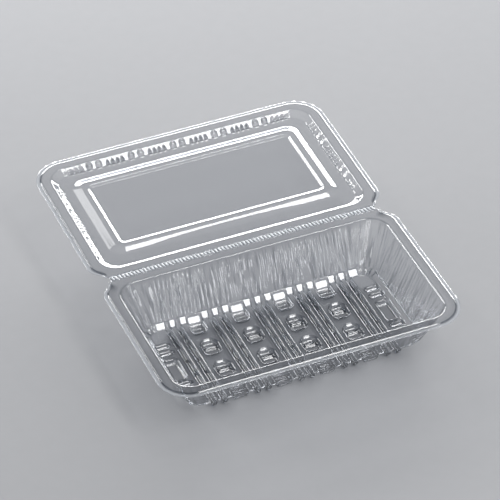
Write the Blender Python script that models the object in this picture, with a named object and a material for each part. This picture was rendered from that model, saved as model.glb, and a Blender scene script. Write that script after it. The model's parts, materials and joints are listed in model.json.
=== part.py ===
"""Clear hinged food pack: one thermoformed sheet folded along a living hinge.

The pack lies open with the inside facing up. +X runs along the hinge, +Y points from the
tray towards the lid and +Z is up. The tray stands on its feet at Z = 0 and the hinge axis
is the line Y = 0 at the height of the rims. Sizes are in millimetres and become metres in
the mesh.
"""

import math

import bmesh
import bpy
from mathutils import Matrix

MM = 0.001

# Sheet
SHEET = 0.3
HINGE_SHEET = 0.2
GAP = 0.3

# Tray and lid share these plan sizes, as both come from one mirrored tool.
RIM_HALF = 95.0
RIM_REACH = 115.6
RIM_CORNER = 17.0
EDGE_BAND = 3.0
RIM_DROP = 0.6
RIM_STEP = 0.5
WAIST_IN = 5.5
WAIST_REACH = 4.4
SHOULDER_REACH = 12.5
SHOULDER_ROUND = 9.0
LEAF_REACH = 2.2
FLANGE_SIDE = 6.2
FLANGE_FAR = 5.6
FLANGE_NEAR = 5.8
CAVITY_HALF = RIM_HALF - FLANGE_SIDE
CAVITY_NEAR = LEAF_REACH + FLANGE_NEAR
CAVITY_FAR = RIM_REACH - FLANGE_FAR
CAVITY_CORNER = 12.0

# Tray: the floor's chamfered edge is the knee
TRAY_HEIGHT = 34.0
FOOT_HEIGHT = 3.2
KNEE_RISE = 2.8
FLOOR_DEPTH = TRAY_HEIGHT - FOOT_HEIGHT
KNEE_DEPTH = FLOOR_DEPTH - KNEE_RISE
WALL_RUN_PER_DEPTH = 0.4036
FLOOR_RUN = 3.5
KNEE_CORNER = 9.0
FLOOR_CORNER = 7.0
POCKET_DEPTH = TRAY_HEIGHT - SHEET
FLOOR_IN = WALL_RUN_PER_DEPTH * KNEE_DEPTH + FLOOR_RUN
FLOOR_HALF = CAVITY_HALF - FLOOR_IN
FLOOR_NEAR = CAVITY_NEAR + FLOOR_IN
FLOOR_FAR = CAVITY_FAR - FLOOR_IN

# Ribs: pairs of grooves across the floor, at an even pitch along the tray
END_MARGIN = 17.0
GROOVE_GROUPS = (-2, -1, 0, 1, 2)
COLUMN_PITCH = (FLOOR_HALF - END_MARGIN) / GROOVE_GROUPS[-1]
GROOVE_SPREAD = 3.4
GROOVE_TOP_HALF = 2.2
GROOVE_TAPER = 0.9
GROOVE_CORNER = 1.0
GROOVE_BACK = FLOOR_NEAR - 1.6
GROOVE_BACK_RUN = 1.6
GROOVE_FRONT = FLOOR_FAR + 3.3
GROOVE_FRONT_RUN = 2.0
GROOVE_LIP_RISE = 4.6
GROOVE_LIP_DEPTH = FLOOR_DEPTH - GROOVE_LIP_RISE

# Pads: three feet in each column between the grooves, and one D pocket at the hinge side
COLUMNS = (-1.5, -0.5, 0.5, 1.5)
PADS = 3
PAD_GAP = 7.1
PAD_CLEAR = 2.55
PAD_OVER_KNEE = 2.9
PAD_SHOULDER = 4.4
PAD_NARROW = 3.1
PAD_DRAFT = 0.8
PAD_FRONT_DRAFT = 1.6
PAD_HALF = COLUMN_PITCH / 2 - GROOVE_SPREAD - GROOVE_TOP_HALF - PAD_CLEAR
PAD_BACK_HALF = PAD_HALF - PAD_NARROW
D_IN = 0.1
D_HALF = PAD_HALF - D_IN
D_TAPER = 1.0
D_CORNER = 3.2
D_BACK = FLOOR_NEAR - 1.9
D_BACK_RUN = 1.7
D_LENGTH = 13.5
D_REACH = D_BACK + D_LENGTH
D_FRONT_RUN = 2.2
D_LIP_RISE = 5.6
D_LIP_DEPTH = FLOOR_DEPTH - D_LIP_RISE
PAD_AFTER_D = 6.9
PAD_FIRST = D_REACH + PAD_AFTER_D
PAD_LENGTH = (FLOOR_FAR + PAD_OVER_KNEE - PAD_FIRST - (PADS - 1) * PAD_GAP) / PADS
PAD_PITCH = PAD_LENGTH + PAD_GAP
BAR_HEIGHT = 1.2
BAR_FROM_BACK = 4.7
BAR_WIDTH = 2.7
BAR_IN = 1.8
BAR_HALF = PAD_HALF - BAR_IN

# End columns: cross grooves and one long pocket against each end wall
END_CLEAR = 2.9
END_OVER = 1.2
END_INNER = GROOVE_GROUPS[-1] * COLUMN_PITCH + GROOVE_SPREAD + GROOVE_TOP_HALF + END_CLEAR
END_OUTER = FLOOR_HALF + END_OVER
END_BARS = (FLOOR_NEAR + 12.8, FLOOR_NEAR + 19.5, FLOOR_FAR - 23.0)
END_BAR_WIDTH = 3.6
END_BAR_DEPTH = 2.0
END_POCKET = (FLOOR_NEAR + 27.2, FLOOR_FAR - 25.6)
END_DRAFT = 0.9
END_OUTER_RUN = 1.5
END_CLIMB = 0.9
END_LIP_RISE = 2.2
END_LIP_DEPTH = FLOOR_DEPTH - END_LIP_RISE

# Lid levels below the rim, from the outside in
LEDGE_DEPTH = 3.5
LEDGE_RUN = 4.3
FRAME_INSET = 11.4
FRAME_INSET_NEAR = 14.7
FRAME_RUN = 4.6
FRAME_DEPTH = 1.9
FRAME_FLAT = 3.4
PANEL_RUN = 1.9
PANEL_DEPTH = 3.1
FRAME_CORNER = 8.0

# Hinge
AXIS_ABOVE_RIM = GAP / 2
LID_LIFT = 1.5
HINGE_IN = 1.5
HINGE_HALF = RIM_HALF - WAIST_IN - HINGE_IN

RIM_Z = TRAY_HEIGHT
CORNER_STEPS = 8
OVERSHOOT = 1.0
LIP = 0.4

TRAY_SIDE = -1.0
LID_SIDE = 1.0


def clear_scene():
    """Removes every object, so that the build starts empty."""
    for ob in list(bpy.data.objects):
        bpy.data.objects.remove(ob, do_unlink=True)


def make_material(name, colour, roughness):
    """Makes a Principled material for clear sheet."""
    mat = bpy.data.materials.new(name)
    mat.use_nodes = True
    shader = mat.node_tree.nodes["Principled BSDF"]
    shader.inputs["Base Color"].default_value = (*colour, 1.0)
    shader.inputs["Roughness"].default_value = roughness
    shader.inputs["Metallic"].default_value = 0.0
    shader.inputs["IOR"].default_value = 1.59
    shader.inputs["Alpha"].default_value = 0.35
    mat.diffuse_color = (*colour, 0.35)
    return mat


def fillet(corners):
    """Rounds a polygon. Each corner is (x, y, radius, steps); steps 0 keeps it sharp."""
    points = []
    count = len(corners)
    for i, (x, y, radius, steps) in enumerate(corners):
        if steps == 0:
            points.append((x, y))
            continue
        px, py = corners[i - 1][:2]
        nx, ny = corners[(i + 1) % count][:2]
        ax, ay = px - x, py - y
        bx, by = nx - x, ny - y
        la, lb = math.hypot(ax, ay), math.hypot(bx, by)
        ax, ay, bx, by = ax / la, ay / la, bx / lb, by / lb
        half = math.acos(max(-1.0, min(1.0, ax * bx + ay * by))) / 2
        reach = radius / math.tan(half)
        mx, my = ax + bx, ay + by
        lm = math.hypot(mx, my)
        cx, cy = x + mx / lm * radius / math.sin(half), y + my / lm * radius / math.sin(half)
        sx, sy = x + ax * reach - cx, y + ay * reach - cy
        ex, ey = x + bx * reach - cx, y + by * reach - cy
        sweep = math.atan2(sx * ey - sy * ex, sx * ex + sy * ey)
        for k in range(steps + 1):
            c, s = math.cos(sweep * k / steps), math.sin(sweep * k / steps)
            points.append((cx + sx * c - sy * s, cy + sx * s + sy * c))
    return points


def box_ring(half, near, far, radius, side, steps=CORNER_STEPS):
    """A rounded rectangle from near to far along Y on one side of the hinge."""
    corners = [
        (-half, far, radius, steps),
        (half, far, radius, steps),
        (half, near, radius, steps),
        (-half, near, radius, steps),
    ]
    return [(x, side * y) for x, y in fillet(corners)]


def rim_ring(grow, side):
    """The rim's outline, grown outwards by grow, with the waist at both hinge ends."""
    half, reach = RIM_HALF + grow, RIM_REACH + grow
    waist = RIM_HALF - WAIST_IN + grow * 0.5
    end = LEAF_REACH + max(0.0, RIM_STEP - grow / 2)
    corners = [
        (-half, reach, RIM_CORNER + grow, CORNER_STEPS),
        (half, reach, RIM_CORNER + grow, CORNER_STEPS),
        (half, SHOULDER_REACH - grow * 0.5, SHOULDER_ROUND, 4),
        (waist, WAIST_REACH + RIM_STEP, 2.0, 2),
        (waist, end, 0.0, 0),
        (-waist, end, 0.0, 0),
        (-waist, WAIST_REACH + RIM_STEP, 2.0, 2),
        (-half, SHOULDER_REACH - grow * 0.5, SHOULDER_ROUND, 4),
    ]
    return [(x, side * y) for x, y in fillet(corners)]


def drop_of(y):
    """How much of the rim's drop holds at y: none along the hinge, all past the waist."""
    t = (abs(y) - LEAF_REACH - RIM_STEP) / (WAIST_REACH + 2.0 - LEAF_REACH)
    return RIM_DROP * max(0.0, min(1.0, t))


def ring3(points, depth, dropped=False):
    """Lifts a plan ring to a depth below the rim, in metres."""
    out = []
    for x, y in points:
        z = RIM_Z - depth
        if dropped:
            z -= drop_of(y)
        out.append((x * MM, y * MM, z * MM))
    return out


def loft(name, rings, collection, material=None):
    """Joins rings of equal count into one closed solid with a flat cap at each end."""
    bm = bmesh.new()
    loops = [[bm.verts.new(p) for p in ring] for ring in rings]
    count = len(loops[0])
    for a, b in zip(loops, loops[1:]):
        for i in range(count):
            j = (i + 1) % count
            bm.faces.new((a[i], a[j], b[j], b[i]))
    bm.faces.new(loops[0])
    bm.faces.new(list(reversed(loops[-1])))
    bmesh.ops.recalc_face_normals(bm, faces=bm.faces)
    return finish_mesh(name, bm, collection, material)


def finish_mesh(name, bm, collection, material=None):
    """Writes a bmesh to a new object in a collection."""
    mesh = bpy.data.meshes.new(name)
    bm.to_mesh(mesh)
    bm.free()
    ob = bpy.data.objects.new(name, mesh)
    collection.objects.link(ob)
    if material:
        mesh.materials.append(material)
    return ob


def join_lofts(name, solids, collection):
    """Makes one cutter object from several separate closed solids given as ring lists."""
    bm = bmesh.new()
    for rings in solids:
        loops = [[bm.verts.new(p) for p in ring] for ring in rings]
        count = len(loops[0])
        faces = []
        for a, b in zip(loops, loops[1:]):
            for i in range(count):
                j = (i + 1) % count
                faces.append(bm.faces.new((a[i], a[j], b[j], b[i])))
        faces.append(bm.faces.new(loops[0]))
        faces.append(bm.faces.new(list(reversed(loops[-1]))))
        bmesh.ops.recalc_face_normals(bm, faces=faces)
    ob = finish_mesh(name, bm, collection)
    ob.hide_render = True
    ob.display_type = "WIRE"
    return ob


def boolean(ob, cutter, operation):
    """Adds an exact Boolean."""
    mod = ob.modifiers.new(f"{operation.title()} {cutter.name}", "BOOLEAN")
    mod.object = cutter
    mod.operation = operation
    mod.solver = "EXACT"


def offset_profile(profile, distance):
    """Moves a profile of (half, depth) points outwards by distance, keeping its corners."""
    normals = []
    for (h0, d0), (h1, d1) in zip(profile, profile[1:]):
        length = math.hypot(h1 - h0, d1 - d0)
        normals.append(((d1 - d0) / length, (h0 - h1) / length))
    out = []
    for i, (h, d) in enumerate(profile):
        a = normals[max(0, i - 1)]
        b = normals[min(len(normals) - 1, i)]
        scale = distance / (1 + a[0] * b[0] + a[1] * b[1])
        out.append((h + (a[0] + b[0]) * scale, d + (a[1] + b[1]) * scale))
    return out


def wall_profile():
    """The cavity's side from above the rim to the floor, as (half length, depth)."""
    knee = FLOOR_HALF + FLOOR_RUN
    return [
        (CAVITY_HALF + WALL_RUN_PER_DEPTH * OVERSHOOT, -OVERSHOOT),
        (knee, KNEE_DEPTH),
        (knee - FLOOR_RUN, FLOOR_DEPTH),
    ]


def cavity_ring(half, depth, radius):
    """A ring of the tray's cavity: the same run in from the end walls and the long walls."""
    run = CAVITY_HALF - half
    ring = box_ring(half, CAVITY_NEAR + run, CAVITY_FAR - run, radius, TRAY_SIDE)
    return ring3(ring, depth)


def pad_corners(centre, back, length, inset, front_inset, side):
    """A foot's outline: narrow at its hinge side, full width from its shoulders on."""
    return [
        (x + centre, side * y)
        for x, y in fillet(
            [
                (-PAD_HALF + inset, back + length - front_inset, 4.0, 3),
                (PAD_HALF - inset, back + length - front_inset, 4.0, 3),
                (PAD_HALF - inset, back + PAD_SHOULDER, 2.5, 2),
                (PAD_BACK_HALF - inset * 0.5, back + inset * 0.8, 0.8, 1),
                (-PAD_BACK_HALF + inset * 0.5, back + inset * 0.8, 0.8, 1),
                (-PAD_HALF + inset, back + PAD_SHOULDER, 2.5, 2),
            ]
        )
    ]


def slab(x0, x1, near, far, radius, steps=2):
    """A rounded rectangle between two X and two distances from the hinge, on the tray."""
    ring = fillet(
        [
            (x0, far, radius, steps),
            (x1, far, radius, steps),
            (x1, near, radius, steps),
            (x0, near, radius, steps),
        ]
    )
    return [(x, TRAY_SIDE * y) for x, y in ring]


def pad_solids(skin):
    """The three feet of each column. Skin 0 cuts the inside, SHEET makes the outside."""
    solids = []
    for column in COLUMNS:
        for k in range(PADS):
            place = (column * COLUMN_PITCH, PAD_FIRST + k * PAD_PITCH - skin, PAD_LENGTH + 2 * skin)
            top = pad_corners(*place, -skin, 0.0, TRAY_SIDE)
            low = pad_corners(*place, PAD_DRAFT - skin, PAD_FRONT_DRAFT, TRAY_SIDE)
            lip = KNEE_DEPTH + LIP if k == PADS - 1 else FLOOR_DEPTH - LIP
            if not skin:
                lip -= LIP / 2
            solids.append(
                [ring3(low, POCKET_DEPTH + skin), ring3(top, FLOOR_DEPTH + LIP / 2), ring3(top, lip)]
            )
    return solids


def tapered(x0, x1, levels, radius, skin):
    """A pocket between two X. Each level is (depth, side taper, near, far), lowest first."""
    rings = []
    for depth, taper, near, far in levels:
        plan = slab(x0 + taper - skin, x1 - taper + skin, near - skin, far + skin, radius)
        rings.append(ring3(plan, depth))
    return rings


def pocket_solids(skin):
    """Every pocket of the floor, grown by skin. Skin 0 cuts the inside, SHEET the outside."""
    bottom = POCKET_DEPTH + skin
    lift = 0.0 if skin else LIP / 2
    solids = pad_solids(skin)
    for column in COLUMNS:
        centre = column * COLUMN_PITCH
        levels = [
            (bottom, D_TAPER, D_BACK + D_BACK_RUN, D_REACH - D_FRONT_RUN),
            (FLOOR_DEPTH, 0.0, D_BACK, D_REACH),
            (D_LIP_DEPTH - lift, 0.0, CAVITY_NEAR + WALL_RUN_PER_DEPTH * D_LIP_DEPTH + LIP / 4, D_REACH),
        ]
        solids.append(tapered(centre - D_HALF, centre + D_HALF, levels, D_CORNER, skin))
    for group in GROOVE_GROUPS:
        for sign in (-1, 1):
            x = group * COLUMN_PITCH + sign * GROOVE_SPREAD
            levels = [
                (bottom, GROOVE_TAPER, GROOVE_BACK + GROOVE_BACK_RUN, GROOVE_FRONT - GROOVE_FRONT_RUN),
                (FLOOR_DEPTH, 0.0, GROOVE_BACK, GROOVE_FRONT),
                (
                    GROOVE_LIP_DEPTH - lift,
                    0.0,
                    CAVITY_NEAR + WALL_RUN_PER_DEPTH * GROOVE_LIP_DEPTH,
                    CAVITY_FAR - WALL_RUN_PER_DEPTH * GROOVE_LIP_DEPTH,
                ),
            ]
            solids.append(
                tapered(x - GROOVE_TOP_HALF, x + GROOVE_TOP_HALF, levels, GROOVE_CORNER, skin)
            )
    for sign in (-1, 1):
        for near, width, depth, radius in (
            *((y, END_BAR_WIDTH, FLOOR_DEPTH + END_BAR_DEPTH, 1.2) for y in END_BARS),
            (END_POCKET[0], END_POCKET[1] - END_POCKET[0], POCKET_DEPTH, 2.4),
        ):
            far = near + width
            low = slab(
                *sorted(
                    (
                        sign * (END_INNER + END_DRAFT - skin),
                        sign * (END_OUTER - END_OUTER_RUN + skin),
                    )
                ),
                near + END_DRAFT - skin,
                far - END_DRAFT + skin,
                radius - 0.3,
            )
            mid, top = (
                slab(
                    *sorted((sign * (END_INNER - skin), sign * (END_OUTER + climb + skin))),
                    near - skin,
                    far + skin,
                    radius,
                )
                for climb in (0.0, END_CLIMB)
            )
            solids.append(
                [ring3(low, depth + skin), ring3(mid, FLOOR_DEPTH), ring3(top, END_LIP_DEPTH - lift)]
            )
    return solids


def bar_solids(skin):
    """The low cross bars in the feet. Skin SHEET cuts the hollow under each bar."""
    solids = []
    for column in COLUMNS:
        centre = column * COLUMN_PITCH
        for k in range(PADS):
            near = PAD_FIRST + k * PAD_PITCH + BAR_FROM_BACK
            foot = POCKET_DEPTH + 0.15 if not skin else POCKET_DEPTH + SHEET + OVERSHOOT
            draft = 0.4
            low = slab(
                centre - BAR_HALF + skin,
                centre + BAR_HALF - skin,
                near + skin,
                near + BAR_WIDTH - skin,
                0.6,
                1,
            )
            high = slab(
                centre - BAR_HALF + skin + draft,
                centre + BAR_HALF - skin - draft,
                near + skin + draft,
                near + BAR_WIDTH - skin - draft,
                0.4,
                1,
            )
            solids.append([ring3(low, foot), ring3(high, POCKET_DEPTH - BAR_HEIGHT + skin)])
    return solids


def build_tray(parts, cutters, material):
    """The tray: rim, drafted walls and the ribbed floor with its feet."""
    inner = wall_profile()
    outer = offset_profile(inner, SHEET)
    half0, depth0 = outer[0]
    half1, depth1 = outer[1]
    share = (SHEET - depth0) / (depth1 - depth0)
    half_under = half0 + (half1 - half0) * share
    top = cavity_ring(CAVITY_HALF, 0.0, CAVITY_CORNER)
    under = cavity_ring(half_under, SHEET, CAVITY_CORNER)
    rings = [
        top,
        ring3(rim_ring(0.0, TRAY_SIDE), 0.0),
        ring3(rim_ring(RIM_STEP, TRAY_SIDE), 0.0, True),
        ring3(rim_ring(EDGE_BAND, TRAY_SIDE), 0.0, True),
        ring3(rim_ring(EDGE_BAND, TRAY_SIDE), SHEET, True),
        ring3(rim_ring(RIM_STEP, TRAY_SIDE), SHEET, True),
        ring3(rim_ring(0.0, TRAY_SIDE), SHEET),
        under,
        cavity_ring(outer[1][0], outer[1][1], KNEE_CORNER),
        cavity_ring(outer[2][0], outer[2][1], FLOOR_CORNER),
    ]
    tray = loft("base_tray", rings, parts, material)
    cavity = join_lofts(
        "cut_cavity",
        [
            [
                cavity_ring(inner[0][0], inner[0][1], CAVITY_CORNER),
                cavity_ring(inner[1][0], inner[1][1], KNEE_CORNER),
                cavity_ring(inner[2][0], inner[2][1], FLOOR_CORNER),
            ]
        ],
        cutters,
    )
    boolean(tray, join_lofts("add_pockets", pocket_solids(SHEET), cutters), "UNION")
    boolean(tray, cavity, "DIFFERENCE")
    boolean(tray, join_lofts("cut_pockets", pocket_solids(0.0), cutters), "DIFFERENCE")
    boolean(tray, join_lofts("add_bars", bar_solids(0.0), cutters), "UNION")
    boolean(tray, join_lofts("cut_bars", bar_solids(SHEET), cutters), "DIFFERENCE")
    return tray


def lid_rings(skin):
    """The lid's levels from the centre panel out to the edge, lowered by skin."""

    def level(inset, near, depth, radius):
        ring = box_ring(CAVITY_HALF - inset, CAVITY_NEAR + near, CAVITY_FAR - inset, radius, LID_SIDE)
        return ring3(ring, depth + skin)

    frame, near = FRAME_INSET, FRAME_INSET_NEAR
    flat = FRAME_RUN + FRAME_FLAT
    return [
        level(frame + flat + PANEL_RUN, near + flat + PANEL_RUN, PANEL_DEPTH, 2.6),
        level(frame + flat, near + flat, FRAME_DEPTH, 4.0),
        level(frame + FRAME_RUN, near + FRAME_RUN, FRAME_DEPTH, 5.0),
        level(frame, near, LEDGE_DEPTH, FRAME_CORNER),
        level(LEDGE_RUN, LEDGE_RUN, LEDGE_DEPTH, CAVITY_CORNER - 2.0),
        level(0.0, 0.0, 0.0, CAVITY_CORNER),
        ring3(rim_ring(0.0, LID_SIDE), skin),
        ring3(rim_ring(RIM_STEP, LID_SIDE), skin, True),
        ring3(rim_ring(EDGE_BAND, LID_SIDE), skin, True),
    ]


def build_lid(parts, material):
    """The lid: rim, shallow dome wall, ledge, raised frame and flat centre panel."""
    rings = lid_rings(0.0) + list(reversed(lid_rings(SHEET)))
    return loft("lid", rings, parts, material)


def build_leaf(name, parts, material, side):
    """One half of the living hinge: a thin strip between the axis and the rim."""
    near, far = GAP / 2, LEAF_REACH - GAP
    bm = bmesh.new()
    bmesh.ops.create_cube(bm, size=1.0)
    size = (2 * HINGE_HALF * MM, (far - near) * MM, HINGE_SHEET * MM)
    place = (0.0, side * (near + far) / 2 * MM, (RIM_Z - HINGE_SHEET / 2) * MM)
    bmesh.ops.scale(bm, vec=size, verts=bm.verts)
    bmesh.ops.translate(bm, vec=place, verts=bm.verts)
    return finish_mesh(name, bm, parts, material)


def hang_on_axis(objects, empty):
    """Parents the lid side to its axis and lifts it to the angle that the sheet springs to."""
    axis_z = (RIM_Z + AXIS_ABOVE_RIM) * MM
    for ob in objects:
        ob.data.transform(Matrix.Translation((0.0, 0.0, -axis_z)))
        ob.parent = empty
    empty.location = (0.0, 0.0, axis_z)
    empty.rotation_euler = (math.radians(LID_LIFT), 0.0, 0.0)


def main():
    """Builds the pack, open, standing on its feet."""
    clear_scene()
    parts = bpy.data.collections.new("hinged_food_pack")
    cutters = bpy.data.collections.new("cutters")
    bpy.context.scene.collection.children.link(parts)
    bpy.context.scene.collection.children.link(cutters)
    tray_sheet = make_material("clear_ops_tray", (0.80, 0.83, 0.86), 0.06)
    lid_sheet = make_material("clear_ops_lid", (0.82, 0.85, 0.88), 0.05)
    web_sheet = make_material("clear_ops_hinge_web", (0.86, 0.88, 0.90), 0.12)
    web_sheet_lid = make_material("clear_ops_hinge_web_lid", (0.86, 0.88, 0.90), 0.12)
    build_tray(parts, cutters, tray_sheet)
    lid = build_lid(parts, lid_sheet)
    build_leaf("hinge_leaf_base", parts, web_sheet, TRAY_SIDE)
    leaf = build_leaf("hinge_leaf_lid", parts, web_sheet_lid, LID_SIDE)
    axis = bpy.data.objects.new("lid_axis", None)
    parts.objects.link(axis)
    hang_on_axis([lid, leaf], axis)


main()
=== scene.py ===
"""A clear hinged food pack, lying open on a pale floor.

Tray, hinge band and lid are one thermoformed sheet of oriented polystyrene. The sizes here are
in millimetres, in the part's own frame: +X runs along the hinge, +Y points from the hinge to the
lid and +Z is up. A half is drawn with v as its distance from the hinge, so that tray and lid
share one plan, and it is mirrored onto its side at the end.
"""

import json
import logging
import math
from collections.abc import Callable, Sequence
from dataclasses import dataclass, field
from enum import Enum

import bpy
import numpy as np
from mathutils import Matrix, Vector


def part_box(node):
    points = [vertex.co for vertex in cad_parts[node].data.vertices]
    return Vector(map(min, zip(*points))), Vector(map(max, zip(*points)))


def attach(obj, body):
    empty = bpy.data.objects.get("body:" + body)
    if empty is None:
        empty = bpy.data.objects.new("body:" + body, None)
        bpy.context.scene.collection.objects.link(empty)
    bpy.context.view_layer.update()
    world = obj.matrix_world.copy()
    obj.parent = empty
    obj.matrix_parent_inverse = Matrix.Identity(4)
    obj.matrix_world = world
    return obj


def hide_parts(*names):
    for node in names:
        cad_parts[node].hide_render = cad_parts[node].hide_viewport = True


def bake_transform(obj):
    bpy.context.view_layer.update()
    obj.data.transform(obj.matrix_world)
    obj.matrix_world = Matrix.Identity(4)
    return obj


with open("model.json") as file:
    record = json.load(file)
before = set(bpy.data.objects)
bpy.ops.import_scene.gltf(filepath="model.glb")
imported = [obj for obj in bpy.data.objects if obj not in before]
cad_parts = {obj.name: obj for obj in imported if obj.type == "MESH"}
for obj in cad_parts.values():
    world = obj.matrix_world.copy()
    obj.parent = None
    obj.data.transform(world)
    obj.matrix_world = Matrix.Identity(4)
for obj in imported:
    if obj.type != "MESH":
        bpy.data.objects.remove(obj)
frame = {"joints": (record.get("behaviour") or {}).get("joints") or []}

MM = 0.001
log = logging.getLogger("hinged_food_pack")

Array = np.ndarray
# Pairs of (distance, value) that a shape follows, straight from one pair to the next.
Run = tuple[tuple[float, float], ...]


class Side(Enum):
    """Which side of the hinge a half lies on, as the sign of Y."""

    TRAY = -1.0
    LID = 1.0


# --------------------------------------------------------------------------------------------
# Small helpers
# --------------------------------------------------------------------------------------------


def linear(code: str) -> tuple[float, float, float, float]:
    """Turns an sRGB hex colour into linear light.

    Args:
        code: The colour, such as "#d9dadc".

    Returns:
        Red, green, blue and an alpha of 1.
    """
    parts = [int(code[i : i + 2], 16) / 255 for i in (1, 3, 5)]
    red, green, blue = (p / 12.92 if p <= 0.04045 else ((p + 0.055) / 1.055) ** 2.4 for p in parts)
    return red, green, blue, 1.0


def add_node(
    tree: bpy.types.NodeTree,
    kind: str,
    inputs: dict[str | int, object] | None = None,
    **settings: object,
) -> bpy.types.Node:
    """Adds a node, with its settings and what goes into it.

    Args:
        tree: The node tree to add it to.
        kind: The node's type, such as "ShaderNodeMix".
        inputs: For each input, by name or number, a value or the socket that feeds it.
        settings: The node's own settings.

    Returns:
        The new node.
    """
    node = tree.nodes.new(kind)
    for key, value in settings.items():
        setattr(node, key, value)
    for key, value in (inputs or {}).items():
        if isinstance(value, bpy.types.NodeSocket):
            tree.links.new(value, node.inputs[key])
        else:
            node.inputs[key].default_value = value
    return node


def smooth(t: Array | float) -> Array:
    """Eases from 0 to 1 as t goes from 0 to 1."""
    t = np.clip(t, 0.0, 1.0)
    return t * t * (3.0 - 2.0 * t)


def follow(run: Run, at: Array | float) -> Array:
    """Reads the value of a run at given distances."""
    distances, values = zip(*run, strict=True)
    return np.interp(at, distances, values)


# A pocket's side, as (millimetres inside its outline, share of its depth): a softly rounded
# brow, then a steep fall.
POCKET_SIDE: Run = (
    (0.0, 0.0),
    (0.25, 0.006),
    (0.5, 0.023),
    (0.75, 0.052),
    (1.0, 0.095),
    (1.55, 0.86),
    (1.75, 0.97),
    (1.95, 1.0),
)


def beyond_corner(a: Array, b: Array) -> Array:
    """Distance from the middle of a round corner, given how far past it a place is each way."""
    return np.hypot(np.maximum(a, 0), np.maximum(b, 0))


def fillet(corners: Sequence[tuple[float, float, float]], steps: int) -> Array:
    """Rounds the inner corners of an open line.

    Args:
        corners: Points as (x, v, radius). The first and last stay as they are.
        steps: Segments in each rounded corner.

    Returns:
        The line's points.
    """
    line = [np.array(corners[0][:2])]
    for before, (x, v, radius), after in zip(corners, corners[1:-1], corners[2:], strict=False):
        here = np.array((x, v))
        arm_a, arm_b = np.array(before[:2]) - here, np.array(after[:2]) - here
        arm_a, arm_b = arm_a / np.linalg.norm(arm_a), arm_b / np.linalg.norm(arm_b)
        half = math.acos(float(np.clip(arm_a @ arm_b, -1, 1))) / 2
        reach = radius / math.tan(half)
        middle = (arm_a + arm_b) / np.linalg.norm(arm_a + arm_b)
        centre = here + middle * radius / math.sin(half)
        start, end = here + arm_a * reach - centre, here + arm_b * reach - centre
        sweep = math.atan2(start[0] * end[1] - start[1] * end[0], start @ end)
        for k in range(steps + 1):
            c, s = math.cos(sweep * k / steps), math.sin(sweep * k / steps)
            line.append(centre + np.array((start[0] * c - start[1] * s, start[0] * s + start[1] * c)))
    line.append(np.array(corners[-1][:2]))
    return np.array(line)


def share_along(line: Array) -> Array:
    """How far along a line each of its points is.

    Args:
        line: The line's points.

    Returns:
        For each point, its share of the line's length, from 0 to 1.
    """
    steps = np.linalg.norm(np.diff(line, axis=0), axis=1)
    run = np.concatenate([[0.0], np.cumsum(steps)])
    return run / run[-1]


def place_along(line: Array, shares: Array) -> Array:
    """Points at given shares of a line's length."""
    run = share_along(line)
    return np.stack([np.interp(shares, run, line[:, i]) for i in range(2)], axis=1)


@dataclass
class Ripple:
    """Seeded, smooth, uneven values over a wall that closes on itself.

    The wall has a whole number of cells round it, and each cell is a given height down it.
    """

    seed: int
    cells_round: int
    cells_down: int
    cell_height: float
    table: Array = field(init=False)

    def __post_init__(self) -> None:
        """Draws a value for each corner of each cell."""
        size = (self.cells_round, self.cells_down + 2)
        self.table = np.random.default_rng(self.seed).uniform(-1.0, 1.0, size)

    def at(self, turn: Array, depth: Array) -> Array:
        """Reads the wall.

        Args:
            turn: Place round the wall, from 0 to 1.
            depth: Place down the wall, in millimetres.

        Returns:
            Values from -1 to 1.
        """
        count, rows = self.table.shape
        across, down = turn * count, depth / self.cell_height
        i, j = np.floor(across).astype(int), np.clip(np.floor(down).astype(int), 0, rows - 2)
        a, b = smooth(across - i), smooth(np.clip(down - j, 0, 1))
        left, right = i % count, (i + 1) % count
        upper = self.table[left, j] * (1 - a) + self.table[right, j] * a
        lower = self.table[left, j + 1] * (1 - a) + self.table[right, j + 1] * a
        return upper * (1 - b) + lower * b


# --------------------------------------------------------------------------------------------
# Meshes
# --------------------------------------------------------------------------------------------


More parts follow.
